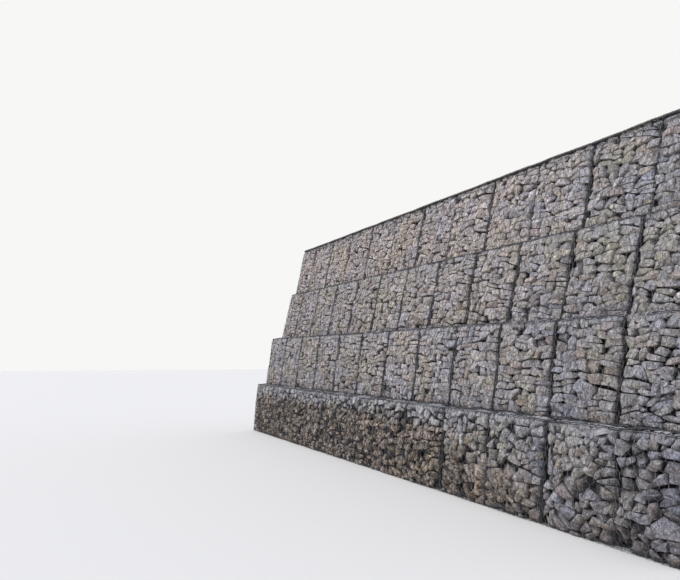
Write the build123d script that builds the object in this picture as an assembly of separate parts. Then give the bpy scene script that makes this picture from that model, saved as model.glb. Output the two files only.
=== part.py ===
"""Gabion retaining wall: four stepped courses of stone-filled wire baskets.

Millimetres. X runs along the wall, Y into the bank behind it and Z up. The
origin is on the ground at the middle of the footprint.
"""
from functools import lru_cache
from math import atan2, cos, pi, sin, sqrt, tan
import os

from build123d import *

# The wall: 12 cells of one metre to a course, between two plumb ends.
wall_length = 12000
cell_pitch = 1000
course_height = 1000
wall_depth = 2000           # foot of the face to the back of the wall
front_row_depth = 1000      # front row of baskets in the base course

# The front of each course, measured into the bank from the foot of the wall.
base_lean = 87
second_setback = 280
second_lean = 141
third_setback = 639
third_lean = 229
top_setback = 960
top_lean = 210

# How far the joints of each course stand from those of the second course.
base_shift = 235
second_shift = 0
third_shift = -205
top_shift = -202

# Cells in one basket.
header_cells = 1            # second and third course, end on to the face
stretcher_cells = 2         # base and top course, side on to the face
rear_cells = 4              # rear row of the base course

# The stone fill swells out between the joints.
plan_bulge = 36
side_bulge = 34

# The cage: laced bundles of wire along the edges of the baskets, as square bars.
edge_bar = 9                # along the front and back edges of a course
end_bar = 10                # round the section at the two ends of the wall
seam_bar = 14               # between two baskets
diaphragm_bar = 11          # at the partition inside a basket
edge_cover = 2.5            # stone corner to the outside of an edge bar
end_cover = 2               # stone corner to the outside of an end bar
seam_cover = 1.5            # the least of these at a seam
lid_roll_radius = 12        # rolled edge of the lids along the top
seat_gap = 0.3              # a bar to the stone behind it

half_length = wall_length / 2
gap_across = sqrt(2) * seat_gap


class Course:
    """One course: where its face stands and how it is divided."""

    def __init__(self, name, level, setback, lean, shift, basket_cells):
        self.name = name
        self.floor = level * course_height
        self.setback = setback
        self.lean = lean
        self.slope = atan2(lean, course_height)
        self.shift = shift
        self.basket_cells = basket_cells

    def face(self, height):
        """Y of the face line, at a height above the bed of this course."""
        return self.setback + self.lean * height / course_height


base = Course("base", 0, 0, base_lean, base_shift, stretcher_cells)
second = Course("second", 1, second_setback, second_lean, second_shift, header_cells)
third = Course("third", 2, third_setback, third_lean, third_shift, header_cells)
top = Course("top", 3, top_setback, top_lean, top_shift, stretcher_cells)
courses = [base, second, third, top]


steepest = max(course.slope for course in courses)
square_leg = gap_across + max(
    (end_cover + end_bar) * (1 + 1 / cos(steepest)),
    (edge_cover + edge_bar) * 2,
    seam_bar / 2 + (seam_cover + seam_bar) / cos(steepest),
)


def joint_lines(course):
    """X of every line between two cells, from the left end to the right."""
    cells = round(wall_length / cell_pitch)
    lines = [course.shift + cell_pitch * step - half_length for step in range(1, cells)]
    return [-half_length] + lines + [half_length]


def basket_starts(course, cells_each):
    """The cells at which a basket begins, counted from the left end."""
    count = len(joint_lines(course)) - 1
    return list(range(0, count, cells_each))


def edge_bar_front(foot, slope, top_of_bar):
    """Y of the front of an edge bar whose upper side is at this height."""
    return foot + top_of_bar * tan(slope) + edge_cover


def corner_leg(across, up, corner_angle):
    """Chamfer of a corner that clears a bar whose inner edge is this far in."""
    half = corner_angle / 2
    return (across * cos(half) + up * sin(half) + seat_gap) / cos(half)


def side_profile(foot, head, back, swell):
    """Section of a row of baskets across the wall, chamfered for the edge bars."""
    slope = atan2(head - foot, course_height)
    reach = edge_cover + edge_bar
    foot_in = edge_bar_front(0, slope, reach) + edge_bar
    head_in = edge_bar_front(0, slope, -edge_cover) + edge_bar
    foot_leg = max(square_leg, corner_leg(foot_in, reach, pi / 2 - slope))
    head_leg = max(square_leg, corner_leg(head_in, reach, pi / 2 + slope))
    face_foot = (foot + foot_leg * sin(slope), foot_leg * cos(slope))
    face_head = (head - head_leg * sin(slope), course_height - head_leg * cos(slope))
    with BuildSketch(Plane.YZ) as sketch:
        with BuildLine():
            if swell:
                SagittaArc(face_foot, face_head, swell)
            else:
                Line(face_foot, face_head)
            Polyline(
                face_head,
                (head + head_leg, course_height),
                (back - square_leg, course_height),
                (back, course_height - square_leg),
                (back, square_leg),
                (back - square_leg, 0),
                (foot + foot_leg, 0),
                face_foot,
            )
        make_face()
    return sketch.sketch


def front_profile(width, front, back, swell):
    """Plan of one cell with its front corners cut for the seam bars."""
    side = width / 2
    left_end = (square_leg - side, front)
    right_end = (side - square_leg, front)
    with BuildSketch() as sketch:
        with BuildLine():
            if swell:
                SagittaArc(left_end, right_end, -swell)
            else:
                Line(left_end, right_end)
            Polyline(
                right_end,
                (side, front + square_leg),
                (side, back),
                (-side, back),
                (-side, front + square_leg),
                left_end,
            )
        make_face()
    return sketch.sketch


def chamfered_box(width, depth, height, along):
    """Box whose four edges along one axis are cut back for the bars."""
    block = Box(width, depth, height)
    return chamfer(block.edges().filter_by(along), square_leg)


@lru_cache
def cell(width, foot, head, back, swells):
    """Stone fill of one cell, from four prisms that share its outline."""
    plan_swell, side_swell = swells
    reach = wall_depth * 2
    side = extrude(side_profile(foot, head, back, side_swell), width)
    side = Pos(-width / 2, 0, 0) * side
    rise = Vector(0, head - foot, course_height)
    front = extrude(front_profile(width, foot, foot + reach, plan_swell), rise.length, dir=rise)
    rear = chamfered_box(width, reach, course_height, Axis.Z)
    rear = Pos(0, back - reach / 2, course_height / 2) * rear
    ends = chamfered_box(width, reach, course_height, Axis.Y)
    ends = Pos(0, (foot + back) / 2, course_height / 2) * ends
    return side & front & rear & ends


@lru_cache
def basket(widths, foot, head, back, swells):
    """Cells side by side in one basket, its left end at X 0."""
    fill = Pos(widths[0] / 2, 0, 0) * cell(widths[0], foot, head, back, swells)
    start = widths[0]
    for width in widths[1:]:
        fill = fill + Pos(start + width / 2, 0, 0) * cell(width, foot, head, back, swells)
        start += width
    return fill


def bar_along(y, z, width, end):
    """Square bar along the wall, by the lower front corner of its section."""
    return Pos(0, y + width / 2, z + width / 2) * Box(2 * end, width, width)


def inset_section(course, inset):
    """Section of a course across the wall, drawn in by this much all round."""
    into_face = inset / cos(course.slope)
    low, high = inset, course_height - inset
    back = wall_depth - inset
    corners = [
        (course.face(low) + into_face, low),
        (course.face(high) + into_face, high),
        (back, high),
        (back, low),
    ]
    return make_face(Plane.YZ * Polyline(*corners, close=True))


def hoop(course, x, width, cover):
    """Bars round the section at one joint: up the face, over, down and back."""
    ring = inset_section(course, cover) - inset_section(course, cover + width)
    return Pos(x, 0, 0) * extrude(ring, width / 2, both=True)


def joint_cover(slope, width):
    """How deep a bar of this width lies when it is seated in its notch."""
    return (square_leg - width / 2 - gap_across) * cos(slope) - width


def edge_bars(course):
    """The long bars of a course, along its front and back edges."""
    end = half_length - end_cover - end_bar / 2
    low, high = edge_cover, course_height - edge_cover - edge_bar
    back = wall_depth - edge_cover - edge_bar
    bars = []
    for z in (low, high):
        front = edge_bar_front(course.setback, course.slope, z + edge_bar)
        bars += [bar_along(front, z, edge_bar, end), bar_along(back, z, edge_bar, end)]
    return bars


def cage(course):
    """Every laced edge of a course, fused where the bars cross."""
    starts = basket_starts(course, course.basket_cells)
    end = half_length - end_cover - end_bar / 2
    bars = edge_bars(course)
    bars += [hoop(course, x, end_bar, end_cover) for x in (-end, end)]
    for step, x in enumerate(joint_lines(course)[1:-1], 1):
        width = seam_bar if step in starts else diaphragm_bar
        bars.append(hoop(course, x, width, joint_cover(course.slope, width)))
    if course is base:
        cover = joint_cover(0, seam_bar)
        for z in (cover, course_height - cover - seam_bar):
            bars.append(bar_along(front_row_depth - seam_bar / 2, z, seam_bar, end))
    lattice = bars[0].fuse(*bars[1:])
    return Pos(0, 0, course.floor) * lattice


def lid_roll():
    """Rolled front edge of the lids, lying on the bars along the top of the face."""
    bar_tops = min(joint_cover(top.slope, seam_bar), end_cover, edge_cover)
    z = top.floor + course_height - bar_tops + seat_gap + lid_roll_radius
    below = course_height - edge_cover
    y = edge_bar_front(top.setback, top.slope, below) + edge_bar / 2
    length = wall_length - 2 * end_cover
    return Pos(0, y, z) * Rot(0, 90, 0) * Cylinder(lid_roll_radius, length)


def rows_of(course):
    """Rows of baskets in a course: kind, cells each, foot, head, back and swell."""
    swells = (plan_bulge, side_bulge)
    head = course.face(course_height)
    if course is not base:
        return [("basket", course.basket_cells, course.setback, head, wall_depth, swells)]
    split = front_row_depth
    return [
        ("front_basket", course.basket_cells, course.setback, head, split, swells),
        ("rear_basket", rear_cells, split, split, wall_depth, (0, 0)),
    ]


def build_nodes():
    """Every piece of the wall by name."""
    nodes = {}
    for course in courses:
        lines = joint_lines(course)
        for kind, cells_each, foot, head, back, swells in rows_of(course):
            for number, first in enumerate(basket_starts(course, cells_each), 1):
                edges = lines[first : first + cells_each + 1]
                widths = tuple(right - left for left, right in zip(edges, edges[1:]))
                place = Pos(edges[0], 0, course.floor)
                name = f"{course.name}_{kind}_{number:02d}"
                nodes[name] = place * basket(widths, foot, head, back, swells)
        nodes[f"{course.name}_cage"] = cage(course)
    nodes["lid_edge_roll"] = lid_roll()
    return nodes


nodes = build_nodes()
boxes = [piece.bounding_box() for piece in nodes.values()]
middle = (min(box.min.Y for box in boxes) + max(box.max.Y for box in boxes)) / 2
os.makedirs("parts", exist_ok=True)
for name, piece in nodes.items():
    export_step(Pos(0, -middle, 0) * piece, f"parts/{name}.step")
print(len(nodes), "nodes, foot of the face at Y", round(-middle, 2))
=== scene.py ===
import math
from functools import partial

import bpy
import numpy as np
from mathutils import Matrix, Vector


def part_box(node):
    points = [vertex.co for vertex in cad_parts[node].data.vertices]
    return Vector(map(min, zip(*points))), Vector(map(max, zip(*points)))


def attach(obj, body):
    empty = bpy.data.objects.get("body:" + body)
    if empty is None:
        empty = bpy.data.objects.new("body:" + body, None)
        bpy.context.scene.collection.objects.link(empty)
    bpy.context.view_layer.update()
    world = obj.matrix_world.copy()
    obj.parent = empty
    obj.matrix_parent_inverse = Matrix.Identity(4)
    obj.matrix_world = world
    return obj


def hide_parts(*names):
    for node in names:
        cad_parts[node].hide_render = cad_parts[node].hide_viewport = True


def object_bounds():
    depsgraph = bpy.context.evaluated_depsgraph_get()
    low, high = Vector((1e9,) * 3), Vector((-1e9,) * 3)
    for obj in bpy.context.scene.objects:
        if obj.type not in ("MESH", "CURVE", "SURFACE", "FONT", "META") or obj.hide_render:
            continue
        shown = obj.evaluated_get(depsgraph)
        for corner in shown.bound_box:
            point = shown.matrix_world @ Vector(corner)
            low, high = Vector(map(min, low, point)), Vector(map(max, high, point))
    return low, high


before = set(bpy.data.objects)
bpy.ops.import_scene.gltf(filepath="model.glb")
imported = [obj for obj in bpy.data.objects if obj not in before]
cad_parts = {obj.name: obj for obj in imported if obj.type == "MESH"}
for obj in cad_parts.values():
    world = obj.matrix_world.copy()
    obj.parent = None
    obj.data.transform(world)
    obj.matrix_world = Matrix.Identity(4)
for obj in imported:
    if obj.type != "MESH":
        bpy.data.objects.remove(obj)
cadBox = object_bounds()
print("frame loaded:", len(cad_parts), "nodes")

# Where the faces stand, in metres, from the foot of the wall into the bank
wallFace = {
    "courses": ["base", "second", "third", "top"],
    "setbacks": [0.0, 0.28, 0.639, 0.96],
    "leans": [0.087, 0.141, 0.229, 0.21],
    "shifts": [0.235, 0.0, -0.205, -0.202],
    "cellsEach": [2, 1, 1, 2],
    "height": 1.0,
    "cell": 1.0,
    "frontRow": 1.0,
    "rearCells": 4,
}

leftX, rightX = cadBox[0].x, cadBox[1].x
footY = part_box("base_rear_basket_01")[0].y - wallFace["frontRow"]
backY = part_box("base_rear_basket_01")[1].y
xAxis, yAxis, zAxis = np.eye(3)


def makeCourse(index):
    # Everything about one course that the pieces need
    height = wallFace["height"]
    shift = wallFace["shifts"][index]
    count = round((rightX - leftX) / wallFace["cell"])
    inner = [leftX + wallFace["cell"] * step + shift for step in range(1, count)]
    foot = footY + wallFace["setbacks"][index]
    last = index + 1 == len(wallFace["courses"])
    return {
        "index": index,
        "name": wallFace["courses"][index],
        "floor": index * height,
        "foot": foot,
        "head": foot + wallFace["leans"][index],
        "ledgeBack": backY if last else footY + wallFace["setbacks"][index + 1],
        "lines": [leftX] + inner + [rightX],
        "cellsEach": wallFace["cellsEach"][index],
    }


courses = [makeCourse(index) for index in range(len(wallFace["courses"]))]


# Camera

cameraView = {
    "beforeWall": 4.637,        # from the foot of the face, square to the wall
    "along": 10.583,
    "eyeHeight": 1.623,
    "towardsWall": 21.95,       # degrees, from looking straight along the wall
    "upward": 4.89,
    "focalPixels": 771,
    "imageWidth": 680,
    "sensor": 36,
    "farthest": 200,
}


def makeCamera():
    data = bpy.data.cameras.new("camera")
    camera = bpy.data.objects.new("camera", data)
    bpy.context.scene.collection.objects.link(camera)
    yaw = math.radians(cameraView["towardsWall"])
    pitch = math.radians(cameraView["upward"])
    along = Vector((-math.cos(yaw), math.sin(yaw), math.tan(pitch)))
    camera.location = (cameraView["along"], footY - cameraView["beforeWall"], cameraView["eyeHeight"])
    camera.rotation_euler = along.to_track_quat("-Z", "Y").to_euler()
    data.sensor_width = cameraView["sensor"]
    data.lens = cameraView["focalPixels"] * cameraView["sensor"] / cameraView["imageWidth"]
    data.clip_end = cameraView["farthest"]
    bpy.context.scene.camera = camera


makeCamera()
print("camera placed")


# Helpers for materials


def newMaterial(name):
    material = bpy.data.materials.new(name)
    material.use_nodes = True
    tree = material.node_tree
    return material, tree, tree.nodes["Principled BSDF"]


def addNode(tree, kind, **inputs):
    node = tree.nodes.new(kind)
    for name, value in inputs.items():
        node.inputs[name].default_value = value
    return node


def noise(tree, vector, scale, detail, rough):
    node = addNode(tree, "ShaderNodeTexNoise", Scale=scale, Detail=detail, Roughness=rough)
    tree.links.new(vector, node.inputs["Vector"])
    return node.outputs["Fac"]


def mathNode(tree, operation, first, second):
    node = tree.nodes.new("ShaderNodeMath")
    node.operation = operation
    for socket, value in zip(node.inputs, (first, second)):
        if isinstance(value, (int, float)):
            socket.default_value = value
        else:
            tree.links.new(value, socket)
    return node.outputs[0]


def rangeNode(tree, value, low, high, toLow, toHigh):
    # A value read from low to high, and what it gives there
    node = tree.nodes.new("ShaderNodeMapRange")
    for index, number in enumerate((low, high, toLow, toHigh), 1):
        node.inputs[index].default_value = number
    tree.links.new(value, node.inputs[0])
    return node.outputs[0]


def mixColour(tree, factor, first, second, blend="MIX"):
    node = tree.nodes.new("ShaderNodeMix")
    node.data_type = "RGBA"
    node.blend_type = blend
    sockets = (node.inputs[0], node.inputs[6], node.inputs[7])
    for socket, value in zip(sockets, (factor, first, second)):
        if isinstance(value, (int, float)):
            socket.default_value = value
        elif isinstance(value, tuple):
            socket.default_value = (*value, 1)
        else:
            tree.links.new(value, socket)
    return node.outputs[2]


def ramp(tree, value, stops, interpolation="LINEAR"):
    node = tree.nodes.new("ShaderNodeValToRGB")
    node.color_ramp.interpolation = interpolation
    elements = node.color_ramp.elements
    while len(elements) < len(stops):
        elements.new(0.5)
    for element, (place, colour) in zip(elements, stops):
        element.position = place
        element.color = (*colour, 1)
    tree.links.new(value, node.inputs[0])
    return node.outputs[0]


def vectorNode(tree, operation, first, second):
    node = tree.nodes.new("ShaderNodeVectorMath")
    node.operation = operation
    for socket, value in zip(node.inputs, (first, second)):
        if isinstance(value, tuple):
            socket.default_value = value
        else:
            tree.links.new(value, socket)
    return node.outputs["Value"] if operation == "DOT_PRODUCT" else node.outputs["Vector"]


def product(tree, *values):
    result = values[0]
    for value in values[1:]:
        result = mathNode(tree, "MULTIPLY", result, value)
    return result


# Light and floor

studio = {
    "sunStrength": 2.5,
    "sunAngle": 24,             # degrees across, for soft shadow edges
    "sunFrom": (-0.42, -0.62, 0.86),
    "sunColour": (1.0, 0.97, 0.93),
    "skyColour": (0.86, 0.885, 0.97),
    "skyStrength": 1.02,
    "backdrop": (0.93, 0.93, 0.92),
    "floorColour": (0.56, 0.56, 0.56),
    "floorRoughness": 0.9,
    "floorSize": 160,
}


def makeSky():
    world = bpy.data.worlds.new("studioSky")
    bpy.context.scene.world = world
    world.use_nodes = True
    tree = world.node_tree
    tree.nodes.clear()
    output = tree.nodes.new("ShaderNodeOutputWorld")
    mix = tree.nodes.new("ShaderNodeMixShader")
    lamp = addNode(tree, "ShaderNodeBackground", Color=(*studio["skyColour"], 1),
                   Strength=studio["skyStrength"])
    seen = addNode(tree, "ShaderNodeBackground", Color=(*studio["backdrop"], 1))
    rays = tree.nodes.new("ShaderNodeLightPath")
    share = rays.outputs["Is Camera Ray"]
    for ray in ("Is Glossy Ray", "Is Transmission Ray"):
        share = mathNode(tree, "MAXIMUM", share, rays.outputs[ray])
    for socket, source in zip(mix.inputs, (share, lamp.outputs[0], seen.outputs[0])):
        tree.links.new(source, socket)
    tree.links.new(mix.outputs[0], output.inputs[0])


def makeSun():
    data = bpy.data.lights.new("studioSun", "SUN")
    data.energy = studio["sunStrength"]
    data.angle = math.radians(studio["sunAngle"])
    data.color = studio["sunColour"]
    sun = bpy.data.objects.new("studioSun", data)
    sun.rotation_euler = Vector(studio["sunFrom"]).to_track_quat("Z", "Y").to_euler()
    bpy.context.scene.collection.objects.link(sun)


def makeFloor():
    half = studio["floorSize"] / 2
    mesh = bpy.data.meshes.new("floor")
    corners = [(-half, -half, 0), (half, -half, 0), (half, half, 0), (-half, half, 0)]
    mesh.from_pydata(corners, [], [(0, 1, 2, 3)])
    floor = bpy.data.objects.new("floor", mesh)
    bpy.context.scene.collection.objects.link(floor)
    material, tree, shader = newMaterial("paleFloor")
    shader.inputs["Base Color"].default_value = (*studio["floorColour"], 1)
    shader.inputs["Roughness"].default_value = studio["floorRoughness"]
    mesh.materials.append(material)


makeSky()
makeSun()
makeFloor()
bpy.context.scene.view_settings.view_transform = "Standard"
print("light and floor set")


# Materials

rockFinish = {
    # Linear colours, each with the share of stones below it
    "kinds": [
        (0.00, (0.348, 0.348, 0.368)),      # blue grey
        (0.24, (0.370, 0.358, 0.356)),      # plain grey
        (0.54, (0.396, 0.382, 0.366)),      # warm pale grey
        (0.72, (0.372, 0.360, 0.330)),      # olive grey
        (0.83, (0.388, 0.350, 0.314)),      # buff
        (0.89, (0.358, 0.312, 0.288)),      # pinkish brown
        (0.93, (0.272, 0.248, 0.230)),      # brown
        (0.96, (0.440, 0.435, 0.440)),      # almost white
    ],
    # Painted shade deep in the gaps, beside the joints and below the lid edge, with some soiling
    "grimeAndShade": (0.042, 0.039, 0.042),
    # Pale dust; on sides that look up it is also painted sky light
    "dust": (0.42, 0.428, 0.466),
    "mud": (0.050, 0.033, 0.023),
    "driedMud": (0.285, 0.224, 0.180),
    "stain": (0.27, 0.205, 0.155),
    "drift": [(0.36, (0.94, 0.965, 1.07)), (0.5, (1.02, 0.985, 0.995)), (0.64, (1.04, 1.01, 0.90))],
    "bleached": (1.38, 1.26, 1.18),         # a tint away from the right end, most at the top
    "paled": 0.5,                           # how far the stones turn grey there
    # Painted shade: the foot of the wall at its right end is darker
    "shadedFoot": (0.72, 0.73, 0.79),             # a tint for the foot of the wall at its right end
    "warmed": (1.0, 0.89, 0.77),            # a tint where mud has washed over
    # Painted light: tints for sides that look down (warm bounce light), level and up (cool sky light)
    "lean": [(0.08, (1.00, 0.97, 0.88)), (0.42, (1.01, 1.0, 0.985)), (0.85, (0.97, 0.985, 1.035))],
    "roughness": 0.9,
    "specular": 0.25,
    # Split facets and creases: how many to the metre, and how far they are bent
    "largeFacets": 24,
    "smallFacets": 66,
    "creases": 26,
    "bends": 40,
    "facetBend": 0.035,
    "creaseBend": 0.09,
    # Relief: the slant of the facets, then metres
    "facetRelief": 1.1,
    "roughRelief": 0.018,
    "grainRelief": 0.004,
    "creaseRelief": 0.006,
    "bump": 0.9,
    # Patterns: scale, detail and roughness
    "patterns": {
        "patches": (17, 4, 0.6), "mottle": (47, 3, 0.7), "grain": (150, 4, 0.75),
        "creased": (11, 3, 0.6), "drift": (1.3, 4, 0.65), "stain": (5.5, 5, 0.65),
        "driedMud": (7, 5, 0.7), "splash": (14, 8, 0.85), "ragged": (75, 4, 0.7),
        "rough": (60, 6, 0.7),
    },
    # Ranges: a value from, to, and what it gives there
    "ranges": {
        "crease": (0.0, 0.10, 1, 0),
        "creased": (0.42, 0.58, 0.05, 0.62),
        # Factors on the colour
        "tone": (0, 2, 0.985, 1.50),
        "patches": (0.3, 0.7, 0.90, 1.13),
        "mottle": (0.34, 0.66, 0.74, 1.27),
        "grain": (0.32, 0.68, 0.68, 1.33),
        "largeFacets": (0, 1, 0.84, 1.16),
        "smallFacets": (0, 1, 0.72, 1.27),
        # Places on the wall, in metres along it and upward
        "bleachAlong": (4.6, 1.6, 0, 1),
        "aboveBase": (0.98, 1.02, 0, 1),
        "bleachUpward": (1.0, 2.4, 0.26, 0.59),
        "bleachTop": (2.98, 3.02, 1, 1.69),
        "shadedFootAlong": (4.3, 5.3, 0, 1),
        "shadedFootUpward": (1.02, 0.98, 0, 1),
        # Sides by how far they look up, from -1 to 1
        "lean": (-0.7, 0.8, 0, 1),
        # Dust and painted sky light on sides that look up
        "dustAndSkyLight": (0.25, 0.95, 0, 0.55),
        "washed": (0.1, 0.8, 1, 0.45),
        # Shares of dirt; ragged and deep set the painted shade in the gaps
        "stain": (0.57, 0.74, 0, 0.34),
        "drifted": (0.35, 0.6, 0.2, 0.75),
        "driedMud": (0.44, 0.56, 0.0, 0.85),
        "splash": (0.485, 0.53, 0, 0.97),
        "ragged": (0.3, 0.7, -0.22, 0.22),
        "deep": (0.21, 0.62, 0.97, 0),
    },
}


def rockPattern(tree, spot, name):
    return noise(tree, spot, *rockFinish["patterns"][name])


def rockRange(tree, value, name):
    return rangeNode(tree, value, *rockFinish["ranges"][name])


def tinted(tree, colour, tint):
    return mixColour(tree, 1.0, colour, tint, "MULTIPLY")


def chippedRelief(tree, vector, scale):
    # Flat facets at random slants, as on split rock, with a tone for each facet
    cells = addNode(tree, "ShaderNodeTexVoronoi", Scale=scale)
    tree.links.new(vector, cells.inputs["Vector"])
    offset = vectorNode(tree, "SUBTRACT", vector, cells.outputs["Position"])
    slant = vectorNode(tree, "SUBTRACT", cells.outputs["Color"], (0.5, 0.5, 0.5))
    height = vectorNode(tree, "DOT_PRODUCT", offset, slant)
    facet = tree.nodes.new("ShaderNodeSeparateColor")
    tree.links.new(cells.outputs["Color"], facet.inputs[0])
    return height, facet.outputs[0]


def rockTexture(tree, spot):
    # Facets that are bent a little, creases that come and go, patches and grain
    bend = addNode(tree, "ShaderNodeTexNoise", Scale=rockFinish["bends"], Detail=3.0)
    tree.links.new(spot, bend.inputs["Vector"])
    bent = vectorNode(tree, "SUBTRACT", bend.outputs["Color"], (0.5, 0.5, 0.5))
    bent = vectorNode(tree, "MULTIPLY", bent, (rockFinish["facetBend"],) * 3)
    bent = vectorNode(tree, "ADD", bent, spot)
    large, largeTone = chippedRelief(tree, bent, rockFinish["largeFacets"])
    small, smallTone = chippedRelief(tree, bent, rockFinish["smallFacets"])
    creases = addNode(tree, "ShaderNodeTexVoronoi", Scale=rockFinish["creases"])
    creases.feature = "DISTANCE_TO_EDGE"
    wandering = vectorNode(tree, "MULTIPLY", bend.outputs["Color"], (rockFinish["creaseBend"],) * 3)
    tree.links.new(vectorNode(tree, "ADD", wandering, spot), creases.inputs["Vector"])
    creased = rockRange(tree, rockPattern(tree, spot, "creased"), "creased")
    return {
        "large": large,
        "largeTone": largeTone,
        "small": small,
        "smallTone": smallTone,
        "crease": product(tree, rockRange(tree, creases.outputs["Distance"], "crease"), creased),
        "patches": rockPattern(tree, spot, "patches"),
        "grain": rockPattern(tree, spot, "grain"),
    }


def rockBrightness(tree, spot, tone, texture):
    # Tone and grain of the stone, with painted shade in the creases
    bright = product(
        tree,
        rockRange(tree, tone, "tone"),
        rockRange(tree, texture["patches"], "patches"),
        rockRange(tree, rockPattern(tree, spot, "mottle"), "mottle"),
        rockRange(tree, texture["grain"], "grain"),
        rockRange(tree, texture["largeTone"], "largeFacets"),
        rockRange(tree, texture["smallTone"], "smallFacets"),
        mathNode(tree, "SUBTRACT", 1, texture["crease"]),
    )
    combined = tree.nodes.new("ShaderNodeCombineColor")
    for socket in combined.inputs:
        tree.links.new(bright, socket)
    return combined.outputs[0]


def addWeatherAndShade(tree, colour, spot):
    # Bleached away from the right end, painted shade at the foot of that end, warmer and cooler in
    # places
    apart = tree.nodes.new("ShaderNodeSeparateXYZ")
    tree.links.new(spot, apart.inputs[0])
    along, inward, upward = apart.outputs
    untouched = (1.0, 1.0, 1.0)
    bleach = product(
        tree,
        rockRange(tree, along, "bleachAlong"),
        rockRange(tree, upward, "aboveBase"),
        rockRange(tree, upward, "bleachUpward"),
        rockRange(tree, upward, "bleachTop"),
    )
    grey = tree.nodes.new("ShaderNodeRGBToBW")
    tree.links.new(colour, grey.inputs[0])
    paled = mathNode(tree, "MULTIPLY", bleach, rockFinish["paled"])
    colour = mixColour(tree, paled, colour, grey.outputs[0])
    drift = rockPattern(tree, spot, "drift")
    colour = tinted(tree, colour, ramp(tree, drift, rockFinish["drift"]))
    colour = tinted(tree, colour, mixColour(tree, bleach, untouched, rockFinish["bleached"]))
    # Painted shade on the foot of the wall at its right end
    shadedFoot = product(tree, rockRange(tree, along, "shadedFootAlong"), rockRange(tree, upward, "shadedFootUpward"))
    return tinted(tree, colour, mixColour(tree, shadedFoot, untouched, rockFinish["shadedFoot"]))


def addDirtAndPaintedLight(tree, colour, spot, mud, dust, depth, patches):
    # Iron stains over several stones, painted sky and bounce light by how sides face, dust and painted
    # sky light on what looks up, mud, and painted shade deep in the gaps
    stain = rockRange(tree, rockPattern(tree, spot, "stain"), "stain")
    colour = mixColour(tree, stain, colour, rockFinish["stain"])
    facing = tree.nodes.new("ShaderNodeNewGeometry")
    apart = tree.nodes.new("ShaderNodeSeparateXYZ")
    tree.links.new(facing.outputs["Normal"], apart.inputs[0])
    upward = apart.outputs[2]
    # Painted light: cooler on sides that look up, warmer on sides that look down
    colour = tinted(tree, colour, ramp(tree, rockRange(tree, upward, "lean"), rockFinish["lean"]))
    dustAndSkyLight = rockRange(tree, upward, "dustAndSkyLight")
    drifted = product(tree, dust, rockRange(tree, patches, "drifted"))
    colour = mixColour(tree, mathNode(tree, "ADD", dustAndSkyLight, drifted), colour, rockFinish["dust"])
    colour = mixColour(tree, mud, colour, tinted(tree, colour, rockFinish["warmed"]))
    dried = product(tree, mud, rockRange(tree, rockPattern(tree, spot, "driedMud"), "driedMud"))
    colour = mixColour(tree, dried, colour, rockFinish["driedMud"])
    muddy = product(
        tree,
        mud,
        rockRange(tree, rockPattern(tree, spot, "splash"), "splash"),
        rockRange(tree, upward, "washed"),
    )
    colour = mixColour(tree, muddy, colour, rockFinish["mud"])
    # Painted shade deep in the gaps, beside the joints and below the lid edge, with some soiling
    ragged = rockRange(tree, rockPattern(tree, spot, "ragged"), "ragged")
    deep = rockRange(tree, mathNode(tree, "ADD", depth, ragged), "deep")
    return mixColour(tree, deep, colour, rockFinish["grimeAndShade"])


def rockBump(tree, spot, texture):
    large = product(tree, texture["large"], rockFinish["facetRelief"])
    small = product(tree, texture["small"], rockFinish["facetRelief"])
    rough = product(tree, rockPattern(tree, spot, "rough"), rockFinish["roughRelief"])
    grain = product(tree, texture["grain"], rockFinish["grainRelief"])
    crease = product(tree, texture["crease"], rockFinish["creaseRelief"])
    relief = mathNode(tree, "ADD", large, small)
    relief = mathNode(tree, "ADD", relief, rough)
    relief = mathNode(tree, "ADD", relief, grain)
    relief = mathNode(tree, "SUBTRACT", relief, crease)
    bump = addNode(tree, "ShaderNodeBump", Strength=rockFinish["bump"], Distance=1.0)
    tree.links.new(relief, bump.inputs["Height"])
    return bump.outputs[0]


def makeRock():
    material, tree, shader = newMaterial("quarriedRock")
    links = tree.links
    look = addNode(tree, "ShaderNodeAttribute")
    look.attribute_name = "stoneLook"
    parts = tree.nodes.new("ShaderNodeSeparateColor")
    links.new(look.outputs["Color"], parts.inputs[0])
    # The third number is lower where painted shade falls: deep behind the skin, beside the joints and
    # below the lid edge
    kind, tone, depth = parts.outputs
    # The fourth number is mud above zero and pale dust below
    mud = mathNode(tree, "MAXIMUM", look.outputs["Alpha"], 0)
    dust = mathNode(tree, "MULTIPLY", mathNode(tree, "MINIMUM", look.outputs["Alpha"], 0), -1)
    spot = tree.nodes.new("ShaderNodeTexCoord").outputs["Object"]
    texture = rockTexture(tree, spot)
    colour = ramp(tree, kind, rockFinish["kinds"], "CONSTANT")
    colour = tinted(tree, colour, rockBrightness(tree, spot, tone, texture))
    colour = addWeatherAndShade(tree, colour, spot)
    colour = addDirtAndPaintedLight(tree, colour, spot, mud, dust, depth, texture["patches"])
    links.new(colour, shader.inputs["Base Color"])
    links.new(rockBump(tree, spot, texture), shader.inputs["Normal"])
    shader.inputs["Roughness"].default_value = rockFinish["roughness"]
    shader.inputs["Specular IOR Level"].default_value = rockFinish["specular"]
    return material


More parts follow.
